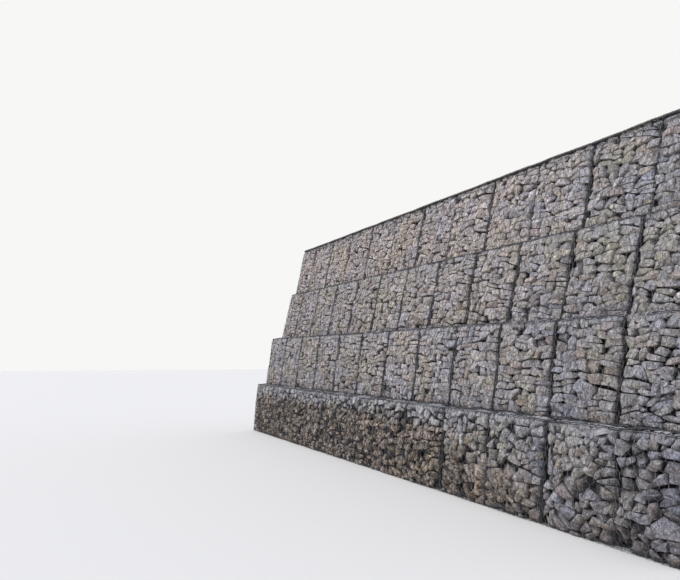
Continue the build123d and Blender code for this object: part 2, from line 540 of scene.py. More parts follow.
wireFinish = {
    "worn": (28, 4, 0.6),               # scale, detail and roughness of the worn patches
    "wornStops": (0.35, 0.65),
    "rusting": (9, 5, 0.7),             # and of the rusty ones
    "rustRange": (0.58, 0.70, 0, 0.7),
    "roughness": (0.3, 0.7, 0.75, 0.5),
    "metallic": 0.35,
    # Linear colours
    "net": [(0.075, 0.077, 0.085), (0.21, 0.215, 0.23), (0.13, 0.09, 0.07)],
    "lacing": [(0.014, 0.015, 0.020), (0.046, 0.050, 0.064), (0.055, 0.032, 0.022)],
    "lidEdge": [(0.030, 0.028, 0.030), (0.150, 0.136, 0.124), (0.17, 0.12, 0.085)],
}


def makeWire(name, dark, bright, rust):
    material, tree, shader = newMaterial(name)
    spot = tree.nodes.new("ShaderNodeTexCoord").outputs["Object"]
    worn = noise(tree, spot, *wireFinish["worn"])
    colour = ramp(tree, worn, list(zip(wireFinish["wornStops"], (dark, bright))))
    rusty = rangeNode(tree, noise(tree, spot, *wireFinish["rusting"]), *wireFinish["rustRange"])
    colour = mixColour(tree, rusty, colour, rust)
    tree.links.new(colour, shader.inputs["Base Color"])
    tree.links.new(rangeNode(tree, worn, *wireFinish["roughness"]), shader.inputs["Roughness"])
    shader.inputs["Metallic"].default_value = wireFinish["metallic"]
    return material


rock = makeRock()
netWire = makeWire("netWire", *wireFinish["net"])
lacingWire = makeWire("lacingWire", *wireFinish["lacing"])
lidEdgeWire = makeWire("lidEdgeWire", *wireFinish["lidEdge"])
print("materials made")


# Panels: every flat side of a basket that shows, each with its own axes


def panel(origin, along, up, outline, swell=0.0, drop=0.0, kind="face", mud=None, packing="packed",
          pulls=None, seams=None, tone=0.0, shadeAndDirt=0.0, lidShade=0.0):
    along = np.asarray(along, float)
    up = np.asarray(up, float)
    up = up / np.linalg.norm(up)
    outline = np.asarray(outline, float)
    return {
        "origin": np.asarray(origin, float),
        "along": along,
        "up": up,
        "out": np.cross(along, up),
        "outline": outline,
        "low": outline.min(0),
        "high": outline.max(0),
        "swell": swell,
        "drop": drop,
        "kind": kind,
        "mud": mud,
        "packing": packing,
        "pulls": pulls or (surface["jointPull"], surface["jointPull"]),
        "seams": seams,             # the joints to the left and right: course, line and line
        "tone": tone,
        "shadeAndDirt": shadeAndDirt,           # deeper painted shade and soil between the stones
        "lidShade": lidShade,
    }


surface = {
    "swellPower": 2.3,
    "jointPull": 0.020,         # how far the stones fall back beside an upright joint
    "weakPull": 0.008,          # the same at the partitions inside a basket
    "cornerPull": 0.008,        # and at the outer corners of the wall
    "jointReach": 0.034,        # how far from the joint they do
    "bedPull": 0.007,
    "bedReach": 0.028,
    "waves": 0.009,
    "seamWander": 0.015,        # how far the upright joints bend to either side
    "seamFade": 0.12,           # less near the beds
    "seamRagged": 0.007,
    "raggedReach": 0.05,
    "jointShade": 0.36,         # painted shade beside the joints
    "shadeReach": 0.011,
    "lidShade": 0.85,           # and painted shadow below the lid edge
    "lidReach": 0.036,
    "buriedTo": 1.5,            # to the left of this mud hides the joints of the base course
    "warp": 0.015,              # how far the stones' corners move from straight rows
    "warpReach": 0.07,          # less than this far from the edges of the panel
    # Where stones have slipped: x, height, half width, half height and depth
    "hollows": [
        (5.42, 0.50, 0.11, 0.06, 0.090), (5.62, 0.38, 0.15, 0.09, 0.070),
        (5.76, 0.55, 0.06, 0.05, 0.070), (5.80, 0.28, 0.10, 0.07, 0.055),
        (5.15, 0.33, 0.10, 0.08, 0.060), (5.30, 0.09, 0.20, 0.06, 0.060),
        (4.28, 0.58, 0.06, 0.13, 0.050), (4.70, 0.22, 0.08, 0.06, 0.030),
        (3.42, 0.24, 0.10, 0.07, 0.030), (2.35, 0.48, 0.09, 0.06, 0.030),
    ],
    "hollowEdge": 0.8,          # how steep their sides are
}


def seamWander(course, line, height):
    # How far an upright joint stands to the right at a height above its bed
    turn = course * 5.1 + line * 2.7
    bend = np.sin(height * 7.3 + turn) + 0.7 * np.sin(height * 15.1 + turn * 1.9)
    fade = np.clip(np.minimum(height, wallFace["height"] - height) / surface["seamFade"], 0, 1)
    return surface["seamWander"] * bend * fade


def seamShift(side, x, y):
    # How far the bent joints at the sides of a panel move its points to the right
    course, first, second = side["seams"]
    low, high = side["low"][0], side["high"][0]
    share = np.clip((x - low) / (high - low), 0, 1)
    return seamWander(course, first, y) * (1 - share) + seamWander(course, second, y) * share


def warped(side, points):
    # Bends the rows of stones, and the edges of the panel along its joints
    low, high = side["low"], side["high"]
    x, y = points[:, 0], points[:, 1]
    far = np.minimum(points - low, high - points).min(1)
    mask = np.clip(far / surface["warpReach"], 0, 1) * surface["warp"]
    turn = float(side["origin"] @ (2.3, 3.1, 4.7))
    moved = points.copy()
    bendX = np.sin(y * 13.7 + x * 4.1 + turn) + 0.6 * np.sin(y * 24 - x * 9 + turn * 1.7)
    bendY = np.sin(x * 11.3 - y * 5.2 + turn) + 0.6 * np.sin(x * 21 + y * 11 + turn * 2.1)
    moved += mask[:, None] * np.stack([bendX, bendY], 1)
    if side["seams"]:
        moved[:, 0] += seamShift(side, x, y)
        ragged = surface["seamRagged"] * np.sin(y * 31 + turn) * np.sin(y * 17 + turn * 3)
        reach = surface["raggedReach"]
        moved[:, 0] += ragged * (np.exp(-(x - low[0]) / reach) + np.exp(-(high[0] - x) / reach))
    return moved


def hollowed(side, points):
    # Depth of the hollows at these points of a face of the base course
    deep = np.zeros(len(points))
    for x, height, halfWidth, halfHeight, depth in surface["hollows"]:
        across = (points[:, 0] + side["origin"][0] - x) / halfWidth
        upward = (points[:, 1] - height) / halfHeight
        deep += depth * np.exp(-(across ** 2 + upward ** 2) * surface["hollowEdge"])
    return deep


def standOut(side, points):
    # How far the basket's skin stands out of its flat panel at these points
    span = side["high"] - side["low"]
    share = np.clip(2 * (points - side["low"]) / span - 1, -1, 1)
    lowered = share[:, 1] + side["drop"] * (1 - share[:, 1] ** 2)
    across = 1 - np.abs(share[:, 0]) ** surface["swellPower"]
    upward = 1 - np.abs(np.clip(lowered, -1, 1)) ** surface["swellPower"]
    lower, upper = np.maximum(points - side["low"], 0), np.maximum(side["high"] - points, 0)
    pull = side["pulls"][0] * np.exp(-lower[:, 0] / surface["jointReach"])
    pull += side["pulls"][1] * np.exp(-upper[:, 0] / surface["jointReach"])
    pull += surface["bedPull"] * np.exp(-np.minimum(lower, upper)[:, 1] / surface["bedReach"])
    world = side["origin"] @ np.ones(3)
    ripple = np.sin(points[:, 0] * 9.1 + world * 3.7) * np.cos(points[:, 1] * 7.7 + world * 1.9)
    return side["swell"] * across * upward + surface["waves"] * ripple * (1 - share[:, 1] ** 4) - pull


def onSkin(side, points, height):
    flat = np.outer(points[:, 0], side["along"]) + np.outer(points[:, 1], side["up"])
    return side["origin"] + flat + np.outer(standOut(side, points) + height, side["out"])


# Stones

stoneLook = {
    "packed": {
        "clumps": (0.20, 0.37),         # height of a layer of clumps, which are then split
        "strips": (0.50, 1.00),         # the layers stop and start again after this length
        "widths": (0.28, 0.66),
        "evenness": 7.0,                # of the clumps' widths in a layer
        "weight": 4.8,                  # the higher, the less a clump's size counts
        "jumble": 0.26,                 # of a layer's height
        "area": 0.0185,                 # square metres at which a stone is split no more
        "spread": 0.30,
        "flatten": 2.2,                 # how much wider than high
        "longBy": (0.75, 1.3),          # of that, to be split across
        "tries": 9,                     # for a split that leaves two round stones
        "offMiddle": 0.14,
        "skew": (0.12, 0.22),           # of the level and the upright splits
        "roundness": 0.58,
        "gaps": (0.0004, 0.0036),
        "tightShare": 0.62,             # neighbours that touch
        "shortest": 0.010,              # side of an outline
        "corners": 0.68,                # corners that are knocked off
        "cuts": (0.08, 0.30),
        "sharp": 0.40,                  # cosine of the angle below which a corner is broken off
        "sharpCuts": (0.24, 0.44),
        "missing": 0.015,               # of the smaller stones
        "small": 0.4,                   # of the area above
        "least": 0.0005,                # square metres
        "tilt": 0.085,
        "push": 0.0065,
        "sunkShare": 0.014,
        "sunk": 0.026,                  # how far these lie back
        "depth": 0.062,                 # of every stone behind the skin
        "depthShare": 0.3,              # and this much of its radius more
        "chips": (1, 5),
        "chipSlopes": (0.22, 0.68),
        "chipInsets": (0.0, 0.6),       # of the way to the edge
        "bevels": 0.72,                 # sides that are split off aslant
        "bevelSlopes": (0.8, 2.4),
        "bevelInsets": (0.05, 0.27),    # of the way from the side to the middle
        "mostOut": 0.014,
        "hollows": False,
        "lostBy": 12,                   # share of stones missing for each metre of a hollow's depth
        "lostFrom": 0.72,               # less this
    },
}
stoneLook["loose"] = {
    **stoneLook["packed"], "clumps": (0.14, 0.24), "widths": (0.14, 0.27),
    "jumble": 0.40, "area": 0.0175, "spread": 0.48, "flatten": 1.8, "skew": (0.32, 0.36),
    "roundness": 0.63, "gaps": (0.0005, 0.0042), "tightShare": 0.60, "corners": 0.44,
    "cuts": (0.08, 0.26), "sharp": 0.50, "sharpCuts": (0.14, 0.30), "missing": 0.02, "tilt": 0.20,
    "push": 0.010, "sunkShare": 0.05, "chips": (2, 6), "chipSlopes": (0.3, 0.95), "bevels": 0.5,
    "bevelInsets": (0.06, 0.34), "mostOut": 0.018, "hollows": True,
}
stoneLook["muddy"] = {
    **stoneLook["packed"], "clumps": (0.11, 0.20), "widths": (0.11, 0.23),
    "jumble": 0.42, "area": 0.0125, "spread": 0.45, "flatten": 1.5, "skew": (0.32, 0.36),
    "roundness": 0.62, "gaps": (0.0010, 0.0058), "tightShare": 0.45, "corners": 0.45,
    "cuts": (0.10, 0.28), "missing": 0.08, "tilt": 0.26, "push": 0.012, "sunkShare": 0.12,
    "chips": (1, 4), "chipSlopes": (0.25, 0.8), "bevelInsets": (0.06, 0.34), "mostOut": 0.016,
    "hollows": True,
}
stoneLook["behind"] = {
    **stoneLook["packed"], "area": 0.034, "clumps": (0.26, 0.46), "chips": (1, 3), "bevels": 0.5,
}


def clipped(polygon, normalX, normalY, limit):
    # The part of a polygon on the low side of a line
    kept = []
    count = len(polygon)
    values = [normalX * x + normalY * y - limit for x, y in polygon]
    for index in range(count):
        here, there = values[index], values[(index + 1) % count]
        if here <= 0:
            kept.append(polygon[index])
        if (here < 0 < there) or (there < 0 < here):
            share = here / (here - there)
            x, y = polygon[index]
            nextX, nextY = polygon[(index + 1) % count]
            kept.append((x + (nextX - x) * share, y + (nextY - y) * share))
    return kept


def splitLength(total, sizes, rng):
    # Random lengths within a range that fill a total
    parts = [rng.uniform(*sizes)]
    while sum(parts) + sizes[0] * 0.6 < total:
        parts.append(rng.uniform(*sizes))
    return np.array(parts) * total / sum(parts)


def clumpSeeds(side, rng, look):
    low, high = side["low"], side["high"]
    seeds = []
    start = low[0]
    for strip in splitLength(high[0] - low[0], look["strips"], rng):
        level = low[1]
        for layer in splitLength(high[1] - low[1], look["clumps"], rng):
            wanted = rng.uniform(*look["widths"])
            count = max(1, round(strip / wanted))
            x = start
            for width in strip * rng.dirichlet(np.full(count, look["evenness"])):
                lift = rng.normal(0, look["jumble"]) * layer
                weight = (width + layer * look["flatten"]) / look["weight"]
                seeds.append((x + width / 2, level + layer / 2 + lift, weight))
                x += width
            level += layer
        start += strip
    return np.array(seeds)


def gapFor(rng, look, upright):
    gap = look["gaps"][0 if rng.random() < look["tightShare"] else 1]
    return gap * (0.5 + rng.random() + 0.5 * abs(upright))


def clumpOutlines(side, rng, look):
    # Power cells round the seeds, wider than high, with a gap between them
    seeds = clumpSeeds(side, rng, look)
    stretch = look["flatten"] ** 2
    outline = [tuple(corner) for corner in side["outline"]]
    found = []
    for seed in seeds:
        stepX = seeds[:, 0] - seed[0]
        stepY = (seeds[:, 1] - seed[1]) * stretch
        apart = stepX ** 2 + stepY ** 2 / stretch
        polygon = outline
        for other in np.argsort(apart)[1:]:
            normalX, normalY = float(stepX[other]), float(stepY[other])
            length = math.hypot(normalX, normalY)
            if length < 1e-6:
                continue
            middle = apart[other] + seed[2] ** 2 - seeds[other][2] ** 2
            limit = (normalX * seed[0] + normalY * seed[1] + middle / 2) / length
            gap = gapFor(rng, look, normalY / length)
            polygon = clipped(polygon, normalX / length, normalY / length, limit - gap)
            if len(polygon) < 3:
                break
        if len(polygon) >= 3:
            found.append(polygon)
    return found


def areaOf(polygon):
    corners = zip(polygon, polygon[1:] + polygon[:1])
    return 0.5 * abs(sum(x * nextY - nextX * y for (x, y), (nextX, nextY) in corners))


def roundnessOf(polygon, look):
    # 1 for an ellipse as flat as the stones should be, about 0.6 for a triangle
    if len(polygon) < 3:
        return 0
    squat = [(x, y * look["flatten"] * 0.85) for x, y in polygon]
    around = sum(map(math.dist, squat, squat[1:] + squat[:1]))
    return 4 * math.pi * areaOf(squat) / around ** 2


def splitClump(polygon, rng, look):
    # Split again and again, along the bed when it is high and across it when it is long
    area = areaOf(polygon)
    if area < look["area"] * math.exp(rng.normal(0, look["spread"])):
        return [polygon]
    xs, ys = [x for x, y in polygon], [y for x, y in polygon]
    width, height = max(xs) - min(xs), max(ys) - min(ys)
    across = width > height * look["flatten"] * rng.uniform(*look["longBy"])
    turned, skew = (0, look["skew"][1]) if across else (math.pi / 2, look["skew"][0])
    off = look["offMiddle"]
    best = None
    for trial in range(look["tries"]):
        angle = turned + rng.normal(0, skew)
        normalX, normalY = math.cos(angle), math.sin(angle)
        middleX = sum(xs) / len(xs) + width * rng.uniform(-off, off)
        middleY = sum(ys) / len(ys) + height * rng.uniform(-off, off)
        limit = normalX * middleX + normalY * middleY
        gap = gapFor(rng, look, normalY)
        halves = (clipped(polygon, normalX, normalY, limit - gap),
                  clipped(polygon, -normalX, -normalY, -limit - gap))
        worst = min(roundnessOf(half, look) for half in halves)
        if best is None or worst > best[0]:
            best = (worst, halves)
        if worst > look["roundness"]:
            break
    if best[0] == 0:
        return [polygon]
    return splitClump(best[1][0], rng, look) + splitClump(best[1][1], rng, look)


def stoneOutlines(side, rng, look):
    return [stone for clump in clumpOutlines(side, rng, look) for stone in splitClump(clump, rng, look)]


def tidyOutline(side, polygon, rng, look):
    # Short sides dropped, the rest bent with the row, and some corners knocked off
    points = np.array(polygon)
    sides = np.linalg.norm(np.roll(points, -1, 0) - points, axis=1)
    points = warped(side, points[sides > look["shortest"]])
    before, after = points - np.roll(points, 1, 0), np.roll(points, -1, 0) - points
    points = points[before[:, 0] * after[:, 1] - before[:, 1] * after[:, 0] > 1e-6]
    if len(points) < 3:
        return points
    result = []
    for corner, before, after in zip(points, np.roll(points, 1, 0), np.roll(points, -1, 0)):
        back, onward = before - corner, after - corner
        cosine = back @ onward / (np.linalg.norm(back) * np.linalg.norm(onward))
        isSharp = cosine > look["sharp"]
        if isSharp or (rng.random() < look["corners"] and len(points) < 7):
            cuts = rng.uniform(*look["sharpCuts" if isSharp else "cuts"], 2)
            result += [corner + back * cuts[0], corner + onward * cuts[1]]
        else:
            result.append(corner)
    return np.array(result)


def cutSolid(points, faces, normal, limit):
    # A convex solid with everything beyond a plane taken off
    normalX, normalY, normalZ = normal
    beyond = [normalX * x + normalY * y + normalZ * z - limit for x, y, z in points]
    if max(beyond) <= 1e-7 or min(beyond) >= -1e-7:
        return points, faces
    points = list(points)
    made, kept, onward = {}, [], {}
    for face in faces:
        loop = []
        leaving = entering = None
        for here, there in zip(face, face[1:] + face[:1]):
            isIn, staysIn = beyond[here] <= 0, beyond[there] <= 0
            if isIn:
                loop.append(here)
            if isIn != staysIn:
                key = (min(here, there), max(here, there))
                if key not in made:
                    share = beyond[here] / (beyond[here] - beyond[there])
                    first, second = points[here], points[there]
                    made[key] = len(points)
                    points.append(tuple(a + (b - a) * share for a, b in zip(first, second)))
                loop.append(made[key])
                if isIn:
                    leaving = made[key]
                else:
                    entering = made[key]
        if len(loop) >= 3:
            kept.append(loop)
        if leaving is not None and entering is not None:
            onward[entering] = leaving
    if len(onward) >= 3:
        start = next(iter(onward))
        cap = [start]
        while onward.get(cap[-1], start) != start and len(cap) <= len(onward):
            cap.append(onward[cap[-1]])
        kept.append(cap)
    return points, kept


def brokenStone(ring, rng, look):
    # A prism on the outline, split off along a few planes at its front
    count = len(ring)
    middle = ring.mean(0)
    around = np.roll(ring, -1, 0)
    edges = around - ring
    area = 0.5 * abs(np.sum(ring[:, 0] * around[:, 1] - around[:, 0] * ring[:, 1]))
    if area < look["least"]:
        return None
    radius = math.sqrt(area / math.pi)
    lengths = np.linalg.norm(edges, axis=1)
    normals = np.stack([edges[:, 1], -edges[:, 0]], 1) / lengths[:, None]
    reach = np.sum((ring - middle) * normals, axis=1)
    back = -look["depth"] - radius * look["depthShare"]
    points = [(x, y, z) for z in (back, look["mostOut"]) for x, y in ring.tolist()]
    faces = [list(range(count - 1, -1, -1)), list(range(count, 2 * count))]
    for step in range(count):
        beyond = (step + 1) % count
        faces.append([step, beyond, count + beyond, count + step])
    push = rng.normal(0, look["push"])
    if rng.random() < look["sunkShare"]:
        push -= look["sunk"]
    tilt = rng.normal(0, look["tilt"], 2)
    planes = [(tilt, push + float(middle @ tilt))]
    for chip in range(rng.integers(*look["chips"])):
        angle = rng.uniform(0, 2 * math.pi)
        way = np.array((math.cos(angle), math.sin(angle)))
        edge = ((ring - middle) @ way).max()
        slope = rng.uniform(*look["chipSlopes"])
        inset = edge * rng.uniform(*look["chipInsets"])
        planes.append((way * slope, push + slope * float(middle @ way + inset)))
    for normal, far in zip(normals, reach):
        if rng.random() < look["bevels"]:
            slope = rng.uniform(*look["bevelSlopes"])
            inset = far * rng.uniform(*look["bevelInsets"])
            planes.append((normal * slope, push + slope * float(middle @ normal + far - inset)))
    for slopes, limit in planes:
        points, faces = cutSolid(points, faces, (slopes[0], slopes[1], 1.0), limit)
    return points, faces


def newStore():
    return {"points": [], "faces": [], "looks": [], "count": 0}


def addPart(store, points, faces, looks=None):
    store["points"].append(points)
    store["faces"].append(faces + store["count"])
    if looks is not None:
        store["looks"].append(looks)
    store["count"] += len(points)


def ringFaces(start, following, count):
    here = np.arange(count)
    beyond = (here + 1) % count
    first = np.stack([start + here, start + beyond, following + beyond], 1)
    second = np.stack([start + here, following + beyond, following + here], 1)
    return np.concatenate([first, second])


def addStones(store, side, rng):
    # Every stone of one panel, laid on its swollen skin
    look = stoneLook[side["packing"]]
    flat, faces, looks, count = [], [], [], 0
    for outline in stoneOutlines(side, rng, look):
        ring = tidyOutline(side, outline, rng, look)
        if len(ring) < 3:
            continue
        fallen = rng.random()
        if areaOf(ring.tolist()) < look["area"] * look["small"] and fallen < look["missing"]:
            continue
        if look["hollows"]:
            deep = hollowed(side, ring.mean(0)[None])[0]
            if fallen < deep * look["lostBy"] - look["lostFrom"]:
                continue
        stone = brokenStone(ring, rng, look)
        if stone is None:
            continue
        points, loops = stone
        used = sorted({index for loop in loops for index in loop})
        number = {index: count + step for step, index in enumerate(used)}
        for loop in loops:
            first = number[loop[0]]
            faces += [(first, number[a], number[b]) for a, b in zip(loop[1:], loop[2:])]
        flat += [points[index] for index in used]
        own = (rng.random(), rng.random() + side["tone"])
        looks += [own] * len(used)
        count += len(used)
    flat = np.array(flat)
    sunk = hollowed(side, flat) if look["hollows"] else 0
    points = onSkin(side, flat[:, :2], flat[:, 2] - sunk)
    shade = np.empty((len(points), 4))
    shade[:, :2] = looks
    # The third number is lower where painted shade falls: deep behind the skin and, at the base, deeper
    # in the gaps
    shade[:, 2] = np.clip((flat[:, 2] + look["depth"]) / look["depth"], 0, 1) - side["shadeAndDirt"]
    # Painted shade beside the joints
    fromJoints = (flat[:, 0] - side["low"][0], side["high"][0] - flat[:, 0])
    for pull, apart in zip(side["pulls"], fromJoints):
        paintedShade = surface["jointShade"] * pull / surface["jointPull"]
        shade[:, 2] -= paintedShade * np.exp(-np.maximum(apart, 0) / surface["shadeReach"])
    # Painted shadow below the lid edge
    fromLid = np.maximum(side["high"][1] - flat[:, 1], 0)
    shade[:, 2] -= side["lidShade"] * np.exp(-fromLid / surface["lidReach"])
    shade[:, 3] = side["mud"](points) if side["mud"] else 0.0
    addPart(store, points, np.array(faces), shade)


def finishPiece(name, store, material, slot, *replaced, smooth=True):
    points = np.concatenate(store["points"])
    points[:, 2] = np.maximum(points[:, 2], 0)      # the lowest wires lie on the ground
    faces = np.concatenate(store["faces"])
    mesh = bpy.data.meshes.new(name)
    mesh.vertices.add(len(points))
    mesh.vertices.foreach_set("co", points.astype(np.float32).ravel())
    mesh.loops.add(faces.size)
    mesh.loops.foreach_set("vertex_index", faces.astype(np.int32).ravel())
    mesh.polygons.add(len(faces))
    mesh.polygons.foreach_set("loop_start", np.arange(0, faces.size, 3, dtype=np.int32))
    if store["looks"]:
        looks = np.concatenate(store["looks"]).astype(np.float32)
        attribute = mesh.attributes.new("stoneLook", "FLOAT_COLOR", "POINT")
        attribute.data.foreach_set("color", looks.ravel())
    mesh.update(calc_edges=True)
    mesh.validate()
    if not smooth:
        mesh.shade_flat()
    mesh.materials.append(material)
    piece = bpy.data.objects.new(name, mesh)
    bpy.context.scene.collection.objects.link(piece)
    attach(piece, "root")
    if replaced:
        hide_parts(*replaced)
    return len(faces)


def addCore(store, corners, inset):
    # Rubble behind the outer stones in painted shade, so that no gap shows through
    corners = np.array(corners)
    middle = corners.mean(0)
    points = corners - np.sign(corners - middle) * inset
    faces = np.array([
        (0, 2, 1), (0, 3, 2), (4, 5, 6), (4, 6, 7), (0, 1, 5), (0, 5, 4),
        (1, 2, 6), (1, 6, 5), (2, 3, 7), (2, 7, 6), (3, 0, 4), (3, 4, 7),
    ])
    addPart(store, points, faces, np.tile(rubble["look"], (len(points), 1)))


# Left free between the edge of a cell and its stones
seamGap = {"strong": 0.016, "weak": 0.006, "bed": 0.008, "end": 0.012, "underLid": 0.032}
# How far the middle of a cell stands out
swellOf = {
    "base": (0.040, 0.055),
    "second": (0.028, 0.042),
    "third": (0.026, 0.040),
    "top": (0.024, 0.038),
    "sagging": (0.052, 0.064),
    "ledge": 0.004,
    "roof": 0.012,
    "back": 0.02,
    "end": 0.02,
}
sagOf = {"base": 0.2, "others": 0.1}        # how far below the middle it stands out most
looseFrom = 2.2                 # to the right of this the base course has larger stones
sagsFrom = 3.2                  # and to the right of this it swells more


def isStrong(course, step):
    return step % course["cellsEach"] == 0


soil = {
    "mudReach": ((-1.0, 2.15, 2.3, 4.15, 4.3), (0.86, 0.80, 0.50, 0.40, 0.26)),     # by x: height
    "mudAmount": ((2.8, 4.3), (1.0, 0.36)),
    "mudFade": 0.22,            # height over which it thins out
    "leastMud": 0.12,
    "cleanFrom": 0.76,          # height from which there is dust and no mud
    "cleanFade": 0.16,
    "baseDust": 0.75,
    "dustFrom": 0.72,           # the same in each course above
    "dustFade": 0.28,
    "dustShare": 0.35,
    "dustDrift": 0.4,
    "ledgeDust": 0.8,
}


def baseSoil(points):
    # Splashed mud, high up to the left and lower to the right, with pale dust under the ledge
    x, height = points[:, 0], points[:, 2]
    reach = np.interp(x, *soil["mudReach"])
    amount = np.interp(x, *soil["mudAmount"])
    wavy = 0.06 * np.sin(x * 5.3) + 0.04 * np.sin(x * 12.1 + 1)
    splashed = (reach + wavy - height) / soil["mudFade"] + 0.5
    splashed = amount * np.clip(splashed, soil["leastMud"], 1)
    clean = np.clip((height + wavy - soil["cleanFrom"]) / soil["cleanFade"], 0, 1)
    return splashed * (1 - clean) - clean * soil["baseDust"]


def pileDust(points):
    # Pale dust washed down from each ledge on to the stones below it
    height = points[:, 2] % wallFace["height"]
    drift = np.sin(points[:, 0] * 1.7 + points[:, 2] * 2.3) + np.sin(points[:, 0] * 4.1 + 1.3)
    upward = np.clip((height - soil["dustFrom"]) / soil["dustFade"], 0, 1)
    return -upward * np.clip(soil["dustShare"] + drift * soil["dustDrift"], 0, 1)


# By the left edge of a cell: how much brighter its stones are, and how much painted shade and soil lies
# between them
stoneTones = {
    "base": ((1.5, 1.6, 2.2, 2.3, 3.2, 4.2), (0.84, 0.56, 0.56, -0.60, -0.28, -0.18)),
    "second": ((0.0, 1.0, 2.0, 3.0, 4.0), (0.12, 0.20, -0.06, -0.06, -0.48)),
    "third": ((0.0, 2.8, 3.8), (0.06, 0.02, -0.16)),
    "top": ((1.8, 2.8, 3.8, 4.8), (0.06, 0.30, 0.26, -0.26)),
}
baseShadeAndDirt = ((2.2, 2.3, 4.2, 4.3), (0.26, 0.14, 0.14, 0.30))


def ledgeDust(points):
    return np.full(len(points), -soil["ledgeDust"])


def trapezoid(nearLow, nearHigh, far, height):
    return [(nearLow, 0), (far, 0), (far, height), (nearHigh, height)]


def insetBox(width, height, left, right, low, high):
    return [(left, low), (width - right, low), (width - right, height - high), (left, height - high)]


def cellPanels(course, step, rng):
    # The panels in front, on the ledge and behind of one cell
    lines = course["lines"]
    left, right = lines[step], lines[step + 1]
    width, height = right - left, wallFace["height"]
    atBase, atTop = course["name"] == "base", course["name"] == "top"
    gaps, pulls = [], []
    for line in (step, step + 1):
        outer = line in (0, len(lines) - 1)
        strong = isStrong(course, line) and not (atBase and lines[line] < surface["buriedTo"])
        gaps.append(seamGap["end" if outer else "strong" if strong else "weak"])
        pulls.append(surface["cornerPull" if outer else "jointPull" if strong else "weakPull"])
    lean = course["head"] - course["foot"]
    rise = math.hypot(lean, height)
    bed = seamGap["bed"]
    upperBed = seamGap["underLid" if atTop else "bed"]
    floor, roof = course["floor"], course["floor"] + height
    front = panel(
        (left, course["foot"], floor), xAxis, (0, lean, height),
        insetBox(width, rise, *gaps, bed, upperBed),
        rng.uniform(*swellOf["sagging" if atBase and left > sagsFrom else course["name"]]),
        sagOf["base" if atBase else "others"], "face",
        mud=baseSoil if atBase else pileDust,
        packing="packed" if not atBase else "loose" if left > looseFrom else "muddy",
        pulls=pulls,
        seams=(course["index"], step, step + 1),
        tone=np.interp(left, *stoneTones[course["name"]]),
        shadeAndDirt=np.interp(left, *baseShadeAndDirt) if atBase else 0,
        lidShade=surface["lidShade"] if atTop else 0,
    )
    ledge = panel(
        (left, course["head"], roof), xAxis, yAxis,
        insetBox(width, course["ledgeBack"] - course["head"], *gaps, bed, bed),
        swellOf["roof" if atTop else "ledge"], 0, "top", mud=ledgeDust,
    )
    behind = panel(
        (right, backY, floor), -xAxis, zAxis, insetBox(width, height, *gaps[::-1], bed, bed),
        swellOf["back"], 0, "back", packing="behind", pulls=pulls[::-1],
    )
    return [front, ledge, behind]


def endPanel(course, front, frontTop, back, atRight):
    height = wallFace["height"]
    gap = seamGap["end"]
    if atRight:
        x, along = rightX, yAxis
        outline = trapezoid(front + gap, frontTop + gap, back - gap, height)
    else:
        x, along = leftX, -yAxis
        outline = [
            (-back + gap, 0), (-front - gap, 0), (-frontTop - gap, height), (-back + gap, height),
        ]
    side = panel((x, 0, course["floor"]), along, zAxis, outline, swellOf["end"], 0, "end",
                 pulls=(surface["cornerPull"], surface["cornerPull"]))
    side["outline"][:, 1] = np.clip(side["outline"][:, 1], gap, height - gap)
    side["low"], side["high"] = side["outline"].min(0), side["outline"].max(0)
    return side


def basketRows(course):
    # Rows of baskets: node name, cells each, foot and head of the front, back, panels that show
    if course["name"] != "base":
        shown = ("face", "top", "back")
        return [("basket", course["cellsEach"], course["foot"], course["head"], backY, shown)]
    split = footY + wallFace["frontRow"]
    return [
        ("front_basket", course["cellsEach"], course["foot"], course["head"], split, ("face", "top")),
        ("rear_basket", wallFace["rearCells"], split, split, backY, ("back",)),
    ]


def corners4(left, right, near, far):
    return [(left, near), (right, near), (right, far), (left, far)]


stoneSeeds = {"base": 140, "second": 101, "third": 102, "top": 103}     # any whole numbers
rubble = {
    "behindSkin": (0.03, 0.075, 0.06),      # in from the sides of the basket
    "look": (0.9, 0.1, 0.0, 0.0),           # as the stones' own four numbers, the third at zero for full painted shade
    "foldShadeFront": 0.024,                     # folded mesh and painted shade right behind the lid edge
    "foldShadeBack": 0.042,
    "foldShadeDown": 0.13,
    "foldShadeUp": 0.006,
    "foldShadeEnds": (0.002, 0, 0),
}


def addRubble(store, course, left, right, front, frontTop, back):
    floor, roof = course["floor"], course["floor"] + wallFace["height"]
    corners = [(x, y, floor) for x, y in corners4(left, right, front, back)]
    corners += [(x, y, roof) for x, y in corners4(left, right, frontTop, back)]
    addCore(store, corners, rubble["behindSkin"])
    if course["name"] == "top":
        # The wall is seen from below, so a dark fold, folded mesh in painted shade, has to close the
        # gap under the lid edge
        near, far = frontTop + rubble["foldShadeFront"], frontTop + rubble["foldShadeBack"]
        levels = (roof - rubble["foldShadeDown"], roof + rubble["foldShadeUp"])
        corners = [(x, y, z) for z in levels for x, y in corners4(left, right, near, far)]
        addCore(store, corners, rubble["foldShadeEnds"])


